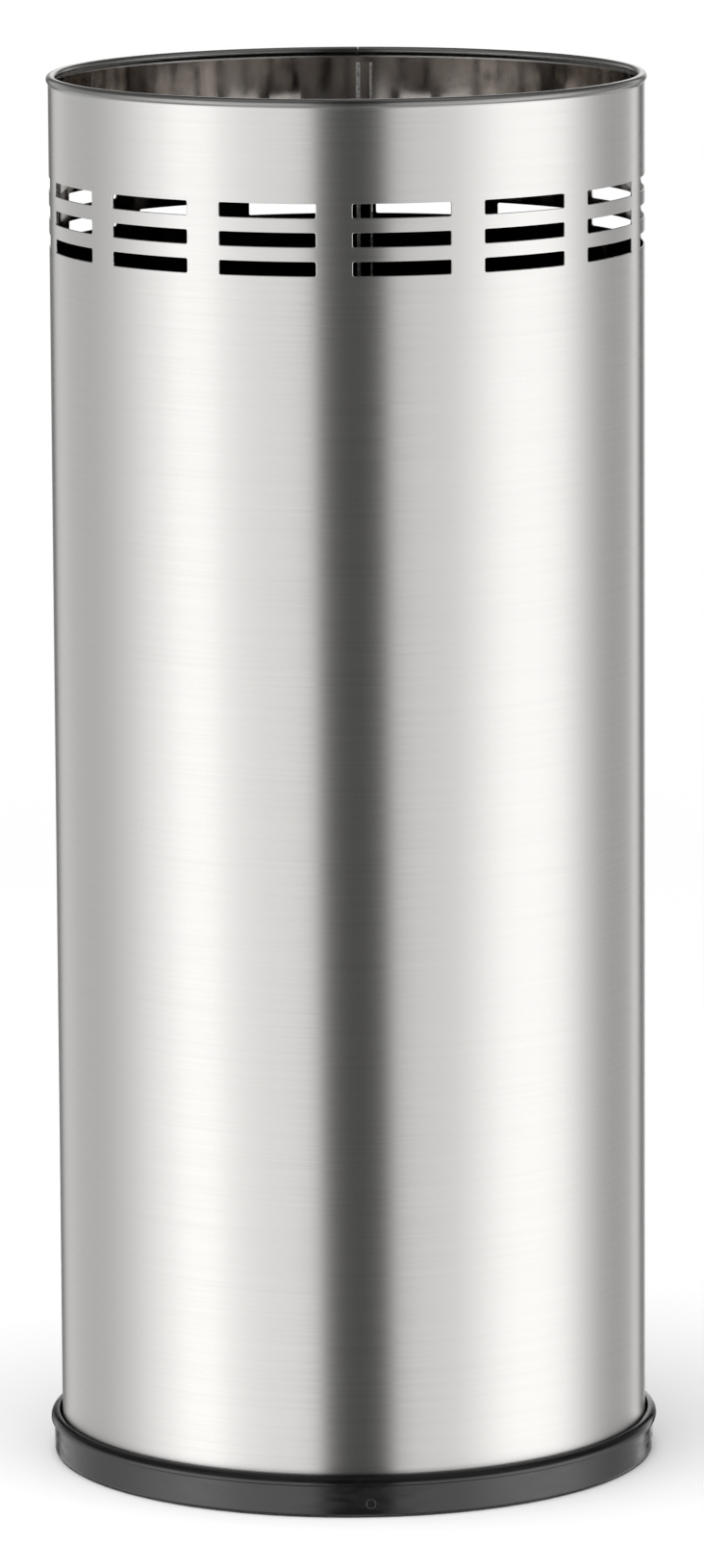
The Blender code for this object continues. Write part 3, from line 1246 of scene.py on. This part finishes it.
@dataclass
class BaseRing:
    """The moulded ring that the tube stands in, with radial ribs underneath."""

    low: Vector
    high: Vector
    tube: SteelTube
    ledge_thickness: float = 0.0020
    ledge_width: float = 0.0140
    ledge_gap: float = 0.0003
    lip_height: float = 0.0121
    lip_mouth: float = 0.0011
    skirt_outstand: float = 0.0028
    skirt_wall: float = 0.0022
    seat_height: float = 0.0100
    ribs: int = 32
    rib_width: float = 0.0010
    rib_setback: float = 0.0008
    rib_foot: float = 0.0012
    rib_overlap: float = 0.0003
    rib_sink: float = 0.0002
    mark_bearing: float = math.radians(5.5)
    mark_height: float = 0.0050
    mark_radius: float = 0.0016
    mark_line: float = 0.00024

    @classmethod
    def from_frame(cls, tube: SteelTube) -> BaseRing:
        """Read the ring's place from its CAD node."""
        return cls(*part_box("base_ring"), tube=tube)

    @property
    def ledge(self) -> float:
        """Height of the face that the tube stands on."""
        return self.tube.foot - self.ledge_gap

    @property
    def skirt(self) -> float:
        """Radius of the skirt's outside."""
        return self.tube.radius + self.skirt_outstand

    @property
    def ledge_underside(self) -> float:
        """Height of the ledge's lower face."""
        return self.ledge - self.ledge_thickness

    def outline(self) -> list[Point]:
        """The ring's section: its lip, its skirt and its ledge.

        Returns:
            Points as (radius, height), clockwise from the lip's inner edge.
        """
        tube, lip = self.tube.radius, self.high.x
        mouth, top = tube + self.lip_mouth, self.high.z
        skirt, under, foot = self.skirt, self.ledge_underside, self.low.z
        inner = skirt - self.skirt_wall
        width, rise = lip - mouth, top - self.lip_height
        quarter = arc((0, 0), 1, math.pi / 2, 0, 12)
        crown = [(mouth + width * x, self.lip_height + rise * y) for x, y in quarter]
        rest = rounded(
            [
                (lip, self.lip_height - 0.0004, 0.00012),
                (skirt, self.lip_height - 0.0010, 0.00015),
                (skirt, foot + 0.0005, 0.0002),
                (skirt - 0.0005, foot, 0.0002),
                (inner, foot, 0.0004),
                (inner, under, 0.0005),
                (tube - self.ledge_width, under, 0.0003),
                (tube - self.ledge_width, self.ledge, 0.0003),
                (tube + self.ledge_gap, self.ledge, 0.0001),
                (tube + self.ledge_gap, self.seat_height, 0.0003),
                crown[0] + (0.0,),
                (crown[-1][0], crown[-1][1], 0.0),
            ],
            3,
        )
        return crown + rest[:-2]

    def build(self, plastic: bpy.types.Material, raised: bpy.types.Material) -> None:
        """Make the ring, its ribs and its moulded circle, and seat them.

        Args:
            plastic: The ring's finish.
            raised: The finish of the circle, lightened as a painted highlight.
        """
        bm = bmesh.new()
        turn(bm, self.outline(), FACETS)
        ring = into_object("base_moulding", bm, plastic, sharp=50.0)
        seat(ring, STAND, Slot.RING, "base_ring")
        seat(self.underside(plastic), STAND, Slot.RING)
        seat(self.mark(raised), STAND, Slot.RING)

    def underside(self, plastic: bpy.types.Material) -> bpy.types.Object:
        """Radial ribs under the ledge.

        Args:
            plastic: Their finish.

        Returns:
            The ribs, as one piece.
        """
        inner = self.tube.radius - self.ledge_width + self.rib_setback
        outer = self.skirt - self.skirt_wall + self.rib_overlap
        half = self.rib_width / 2
        low, high = self.low.z + self.rib_foot, self.ledge_underside + self.rib_sink
        section = rounded(
            [(-half, low, 0.0003), (half, low, 0.0003), (half, high, 0.0), (-half, high, 0.0)], 2
        )
        bm = bmesh.new()
        prism(bm, section, (-outer, -inner))
        lay_along_y(bm)
        rib = into_object("base_ribs", bm)
        values = {"Count": self.ribs, "First Bearing": math.pi / self.ribs, "Finish": plastic}
        return clean(RingOfCopies().run(rib, values))

    def mark(self, raised: bpy.types.Material) -> bpy.types.Object:
        """A fine raised circle on the front of the skirt.

        Args:
            raised: Its finish.

        Returns:
            The circle.
        """
        bm = bmesh.new()
        turn(bm, arc((self.mark_radius, 0), self.mark_line, 0, -2 * math.pi, 8)[:-1], 48)
        place = (
            Matrix.Rotation(self.mark_bearing, 4, "Z")
            @ Matrix.Translation((0, -self.skirt, self.mark_height))
            @ Matrix.Rotation(math.pi / 2, 4, "X")
        )
        bmesh.ops.transform(bm, matrix=place, verts=bm.verts)
        return into_object("mould_mark", bm, raised)


@dataclass
class FootPads:
    """Four rubber pads, each with a rounded edge and a groove round its face."""

    low: Vector
    high: Vector
    count: int = 4
    edge_round: float = 0.0004
    groove: float = 0.0029
    groove_mouth: float = 0.0005
    groove_floor: float = 0.0002
    groove_depth: float = 0.0003

    @classmethod
    def from_frame(cls) -> FootPads:
        """Read the first pad's place from its CAD node."""
        return cls(*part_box("foot_pad_1"))

    def build(self, rubber: bpy.types.Material) -> None:
        """Make the pads and seat them.

        Args:
            rubber: The pads' finish.
        """
        radius, top = (self.high.x - self.low.x) / 2, self.high.z
        bend = (radius - self.edge_round, self.edge_round)
        outline = [(0, top), (radius, top)]
        outline += arc(bend, self.edge_round, 0, -math.pi / 2, 4)
        outline += [
            (self.groove + self.groove_mouth, 0),
            (self.groove + self.groove_floor, self.groove_depth),
            (self.groove - self.groove_floor, self.groove_depth),
            (self.groove - self.groove_mouth, 0),
            (0, 0),
        ]
        bm = bmesh.new()
        turn(bm, outline, 48, closed=False)
        middle = (self.low + self.high) / 2
        spread = math.hypot(middle.x, middle.y)
        bmesh.ops.translate(bm, vec=(0, -spread, 0), verts=bm.verts)
        values = {"Count": self.count, "First Bearing": math.pi / self.count, "Finish": rubber}
        pads = clean(RingOfCopies().run(into_object("rubber_pads", bm), values))
        nodes = [f"foot_pad_{number + 1}" for number in range(self.count)]
        seat(pads, STAND, Slot.PAD, *nodes)


@dataclass
class DripTray:
    """The loose tray: drafted wall, out-turned lip, two grips and ribs on its floor."""

    low: Vector
    high: Vector
    height: float = 0.0220
    wall: float = 0.0016
    draft: float = 0.0020
    bend: float = 0.0040
    lip: float = 0.0012
    edge_round: float = 0.0004
    lip_round: float = 0.0005
    foot_ring: float = 0.0120
    foot_rise: float = 0.0005
    grip: float = 0.0150
    grip_spare: float = 0.001
    ribs: int = 12
    rib_rise: float = 0.0016
    rib_width: float = 0.0018
    rib_taper: float = 0.7
    rib_reach: tuple[float, float] = (0.024, 0.082)
    rib_sink: float = 0.0003

    @classmethod
    def from_frame(cls) -> DripTray:
        """Read the tray's place from its CAD node."""
        return cls(*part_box("drip_tray"))

    @property
    def top(self) -> float:
        """Height of the lip's face."""
        return self.low.z + self.height

    def outline(self) -> list[Point]:
        """The tray's section, from the axis over the wall and back to the axis.

        Returns:
            Points as (radius, height).
        """
        radius, bottom, top = self.high.x, self.low.z, self.top
        wall = radius - self.lip
        foot = wall - self.draft
        bend = (foot - self.bend, bottom + self.bend)
        quarter = math.pi / 2
        edge, tip = self.edge_round, self.lip_round
        outline = [(0, bottom + self.wall)]
        outline += arc(bend, self.bend - self.wall, -quarter, 0, 8)
        outline += arc((wall - self.wall + edge, top - edge), edge, math.pi, quarter, 4)
        outline += arc((radius - tip, top - tip), tip, quarter, 0, 4)
        outline += arc((radius - edge, top - self.wall + edge), edge, 0, -quarter, 4)
        outline += [(wall, top - self.wall)]
        outline += arc(bend, self.bend, 0, -quarter, 8)
        ring, rise = foot - self.foot_ring, self.foot_rise
        outline += [(ring, bottom), (ring - rise, bottom + rise), (0, bottom + rise)]
        return outline

    def ears(self) -> bpy.types.Object:
        """Two half-round grips, cut from one sleeve in line with the wall.

        Returns:
            Both grips, as one object.
        """
        outer = self.high.x - self.lip
        inner = outer - self.wall
        low, high = self.top - self.wall, self.top + self.grip + self.grip_spare
        bm = bmesh.new()
        turn(bm, [(outer, high), (outer, low), (inner, low), (inner, high)], FACETS // 2)
        sleeve = into_object("grips", bm)
        bm = bmesh.new()
        middle = Matrix.Translation((0, 0, self.top - self.wall / 2))
        bmesh.ops.create_cone(
            bm,
            cap_ends=True,
            segments=96,
            radius1=self.grip,
            radius2=self.grip,
            depth=2 * self.high.x,
            matrix=middle @ Matrix.Rotation(math.pi / 2, 4, "X"),
        )
        return combine(sleeve, into_object("grip_outline", bm), Joining.COMMON)

    def floor_ribs(self, plastic: bpy.types.Material) -> bpy.types.Object:
        """Radial ribs that keep the umbrellas' tips out of the water.

        Args:
            plastic: Their finish.

        Returns:
            The ribs, as one piece.
        """
        floor = self.low.z + self.wall
        low, high = floor - self.rib_sink, floor + self.rib_rise
        foot = self.rib_width / 2
        crest = foot * self.rib_taper
        corners = [(-foot, low, 0.0), (foot, low, 0.0), (crest, high, 0.0005), (-crest, high, 0.0005)]
        inner, outer = self.rib_reach
        bm = bmesh.new()
        prism(bm, rounded(corners, 3), (-outer, -inner))
        lay_along_y(bm)
        values = {"Count": self.ribs, "First Bearing": 0.0, "Finish": plastic}
        return clean(RingOfCopies().run(into_object("tray_ribs", bm), values))

    def build(self, plastic: bpy.types.Material) -> None:
        """Make the tray with its grips and ribs and seat them.

        Args:
            plastic: The tray's finish.
        """
        bm = bmesh.new()
        turn(bm, self.outline(), FACETS // 2, closed=False)
        tray = into_object("tray_moulding", bm, plastic)
        clean(combine(tray, self.ears(), Joining.WELD))
        seat(tray, TRAY, Slot.TRAY, "drip_tray")
        seat(self.floor_ribs(plastic), TRAY, Slot.TRAY)


# ---------------------------------------------------------------- the studio


@dataclass(frozen=True)
class Panel:
    """A lit panel or a dark card that stands round the object.

    Bearings are in degrees. Strength is the light that a panel adds, or the share that a
    card takes away.
    """

    bearing: float
    half_width: float
    fade: float
    strength: float


@dataclass
class Studio:
    """The surroundings: soft panels, a pale floor, one overhead light and the camera.

    Bearings are in degrees. A fade is the pair of values between which the light changes. For
    the zenith, the nadir and the back it is the rise of the direction, from -1 straight down
    to 1 straight up, and for the floor it is the way out to its edge, as a share.
    """

    camera_bearing: float = 2.4
    camera_aside: float = 0.0116
    camera_distance: float = 3.0867
    camera_height: float = 0.7632
    camera_pitch: float = 9.640
    camera_roll: float = 0.332
    lens: float = 203.98
    fill: float = 0.625
    zenith: float = 0.13
    nadir: float = 0.45
    zenith_fade: tuple[float, float] = (-0.02, 0.42)
    nadir_fade: tuple[float, float] = (-0.95, -0.55)
    back_bearings: tuple[float, float] = (164.0, 174.0)
    back_fade: tuple[float, float] = (0.30, 0.50)
    panel_colour: Colour = (1.0, 0.995, 0.988)
    backdrop: float = 1.0
    floor_radius: float = 1.6
    floor_fade: tuple[float, float] = (0.25, 0.95)
    floor_shade: float = 0.90
    lamp_size: float = 4.5
    lamp_power: float = 155.0
    lamp_place: tuple[float, float, float] = (-0.15, -0.5, 2.8)
    lamp_aim: tuple[float, float, float] = (0.0, 0.0, 0.2)
    panels: tuple[Panel, ...] = (
        Panel(-48.0, 24.0, 46.0, 0.60),
        Panel(-62.0, 4.0, 30.0, 0.28),
        Panel(-60.0, 6.5, 7.0, 0.22),
        Panel(57.0, 22.0, 38.0, 0.44),
        Panel(80.0, 9.0, 32.0, 0.60),
        Panel(-147.0, 3.0, 12.0, 0.10),
        Panel(150.5, 1.0, 7.0, 0.46),
        Panel(176.0, 6.0, 6.0, 0.35),
    )
    cards: tuple[Panel, ...] = (
        Panel(4.0, 11.6, 4.0, 0.895),
        Panel(134.0, 6.0, 16.0, 0.24),
        Panel(-161.5, 2.0, 6.0, 0.92),
        Panel(162.0, 3.0, 5.0, 0.97),
    )

    def build(self) -> None:
        """Set up the surroundings, the floor, the light and the camera."""
        self.surround()
        self.lay_floor()
        self.hang_light()
        self.place_camera()
        bpy.context.scene.view_settings.view_transform = "Standard"
        LOG.info("studio: %d panels and %d cards", len(self.panels), len(self.cards))

    def surround(self) -> None:
        """Light the scene by panels and cards, and show a plain pale backdrop."""
        world = bpy.data.worlds.new("studio")
        world.use_nodes = True
        bpy.context.scene.world = world
        graph = Graph(world.node_tree)
        world.node_tree.nodes.clear()
        direction = graph.node("ShaderNodeTexCoord").outputs["Generated"]
        x, y, z = graph.node("ShaderNodeSeparateXYZ", {0: direction}).outputs
        turned = graph.math("ARCTAN2", x, graph.math("MULTIPLY", y, -1.0))
        bearing = graph.math("DEGREES", turned)
        light: float | Socket = self.fill
        for panel in self.panels:
            light = graph.math("ADD", light, self.reach(graph, bearing, panel, panel.strength, 0.0))
        for card in self.cards:
            shade = self.reach(graph, bearing, card, 1.0 - card.strength, 1.0)
            light = graph.math("MULTIPLY", light, shade)
        around = graph.ramp(z, *self.zenith_fade, 1.0, self.zenith)
        behind = graph.ramp(graph.math("ABSOLUTE", bearing), *self.back_bearings, 0.0, 1.0)
        low_back = graph.math("MULTIPLY", behind, graph.ramp(z, *self.back_fade, 1.0, 0.0))
        light = graph.math("MULTIPLY", light, graph.math("MAXIMUM", around, low_back))
        light = graph.math("MULTIPLY", light, graph.ramp(z, *self.nadir_fade, self.nadir, 1.0))
        colour = (*self.panel_colour, 1.0)
        lit = graph.node("ShaderNodeBackground", {"Strength": light, "Color": colour})
        plain = graph.node("ShaderNodeBackground", {"Strength": self.backdrop})
        plain.inputs["Color"].default_value = (1.0, 1.0, 1.0, 1.0)
        seen = graph.node("ShaderNodeLightPath").outputs["Is Camera Ray"]
        mix = graph.node("ShaderNodeMixShader", {0: seen, 1: lit.outputs[0], 2: plain.outputs[0]})
        graph.node("ShaderNodeOutputWorld", {"Surface": mix.outputs[0]})

    @staticmethod
    def reach(graph: Graph, bearing: Socket, panel: Panel, near: float, far: float) -> Socket:
        """Ease from one value in front of the panel to another away from it.

        Args:
            graph: The world's graph.
            bearing: The bearing looked along, in degrees.
            panel: The panel or card.
            near: The value in front of it.
            far: The value away from it.

        Returns:
            The value's socket.
        """
        off = graph.math("SUBTRACT", bearing, panel.bearing)
        away = graph.math("ABSOLUTE", graph.math("WRAP", off, 180.0, -180.0))
        edge = panel.half_width + panel.fade
        return graph.ramp(away, panel.half_width, edge, near, far)

    def lay_floor(self) -> None:
        """A plain pale floor that melts into the backdrop."""
        material = bpy.data.materials.new("floor_paper")
        material.use_nodes = True
        graph = Graph(material.node_tree)
        material.node_tree.nodes.clear()
        place = graph.node("ShaderNodeTexCoord").outputs["Object"]
        away = graph.node("ShaderNodeVectorMath", {0: place}, operation="LENGTH").outputs["Value"]
        near, far = (share * self.floor_radius for share in self.floor_fade)
        clear = graph.ramp(away, near, far, 0.0, 1.0)
        paper = graph.node("ShaderNodeBsdfDiffuse", {"Color": (*(self.floor_shade,) * 3, 1.0)})
        gone = graph.node("ShaderNodeBsdfTransparent")
        mix = graph.node("ShaderNodeMixShader", {0: clear, 1: paper.outputs[0], 2: gone.outputs[0]})
        graph.node("ShaderNodeOutputMaterial", {"Surface": mix.outputs[0]})
        bm = bmesh.new()
        bmesh.ops.create_circle(bm, cap_ends=True, segments=96, radius=self.floor_radius)
        floor = into_object("floor", bm, material)
        floor.visible_glossy = False

    def hang_light(self) -> None:
        """One wide soft light overhead, for the floor and the plastic."""
        light = bpy.data.lights.new("overhead", "AREA")
        light.shape = "DISK"
        light.size = self.lamp_size
        light.energy = self.lamp_power
        lamp = bpy.data.objects.new("overhead", light)
        lamp.location = self.lamp_place
        aim = Vector(self.lamp_aim) - lamp.location
        lamp.rotation_euler = aim.to_track_quat("-Z", "Y").to_euler()
        lamp.visible_glossy = False
        bpy.context.scene.collection.objects.link(lamp)

    def place_camera(self) -> None:
        """Put the camera in front of the stand, looking a little down at it."""
        lens = bpy.data.cameras.new("camera")
        lens.lens = self.lens
        lens.clip_start, lens.clip_end = 0.1, 50.0
        camera = bpy.data.objects.new("camera", lens)
        bearing = math.radians(self.camera_bearing)
        distance = self.camera_distance
        place = (distance * math.sin(bearing), -distance * math.cos(bearing), self.camera_height)
        camera.matrix_world = (
            Matrix.Translation(place)
            @ Matrix.Rotation(bearing - math.radians(self.camera_aside), 4, "Z")
            @ Matrix.Rotation(math.radians(90.0 - self.camera_pitch), 4, "X")
            @ Matrix.Rotation(math.radians(-self.camera_roll), 4, "Z")
        )
        bpy.context.scene.collection.objects.link(camera)
        bpy.context.scene.camera = camera


def dress_wire(steel: bpy.types.Material) -> None:
    """Give the wire inside the rim its finish.

    Args:
        steel: The wire's finish.
    """
    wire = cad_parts["rim_wire"]
    for material_slot in wire.material_slots:
        material_slot.material = steel
    LOG.info("rim_wire: CAD node dressed")


def build_tube() -> SteelTube:
    """Make the tube and its lock seam, and dress them and the wire in the rim.

    Returns:
        The tube, which the base ring takes its place from.
    """
    tube = SteelTube.from_frame()
    brushed = BrushedSteel("brushed_steel", STAINLESS, 0.33).material()
    # Low in the tube the inner face darkens as painted shade.
    inner = MilledSteel(
        "milled_steel",
        (0.52, 0.485, 0.455),
        0.05,
        dulling=0.08,
        wave_depth=1.2e-5,
        lit_above=tube.rim - 0.022,
        shaded_below=tube.rim - 0.040,
    ).material()
    # The bead's colour darkens round its middle as painted shade.
    edge = RolledEdge(
        "rolled_edge", STAINLESS, 0.26, anisotropy=0.3, middle=tube.rim - tube.bead
    ).material()
    # The fold and the stepped edge are near white as a painted highlight, and darken low in the tube
    # as painted shade.
    folded = MilledSteel(
        "folded_steel_highlight",
        (0.98, 0.97, 0.95),
        0.30,
        blotch=0.0006,
        wave=0.0012,
        wave_depth=5e-4,
        lit_above=tube.rim - 0.024,
        shaded_below=tube.rim - 0.036,
    ).material()
    tube.build(brushed, inner, edge)
    LockSeam(tube).build(folded, inner)
    dress_wire(MilledSteel("drawn_wire", (0.50, 0.50, 0.50), 0.34, blotch=0.004).material())
    return tube


def build_base(tube: SteelTube) -> None:
    """Make what stands under the tube: the plate, the ring and its pads.

    Args:
        tube: The tube that they carry.
    """
    pressed = MilledSteel("pressed_steel", (0.55, 0.55, 0.55), 0.38).material()
    black = Moulding("ring_plastic", (0.0025, 0.0025, 0.003), 0.20, gloss_ior=1.70).material()
    # The moulded circle is lighter than the ring as a painted highlight.
    raised = Moulding("raised_mark_highlight", (0.030, 0.030, 0.032), 0.45).material()
    rubber = Rubber("pad_rubber", (0.018, 0.018, 0.018), 0.85).material()
    BottomPlate.from_frame().build(pressed)
    BaseRing.from_frame(tube).build(black, raised)
    FootPads.from_frame().build(rubber)


def main() -> None:
    """Build the pieces in order and set up the studio."""
    logging.basicConfig(level=logging.INFO, format="%(name)s: %(message)s")
    build_base(build_tube())
    grained = Moulding("tray_plastic", (0.020, 0.020, 0.021), 0.48, grain=0.0006).material()
    DripTray.from_frame().build(grained)
    Studio().build()


if __name__ == "__main__":
    main()
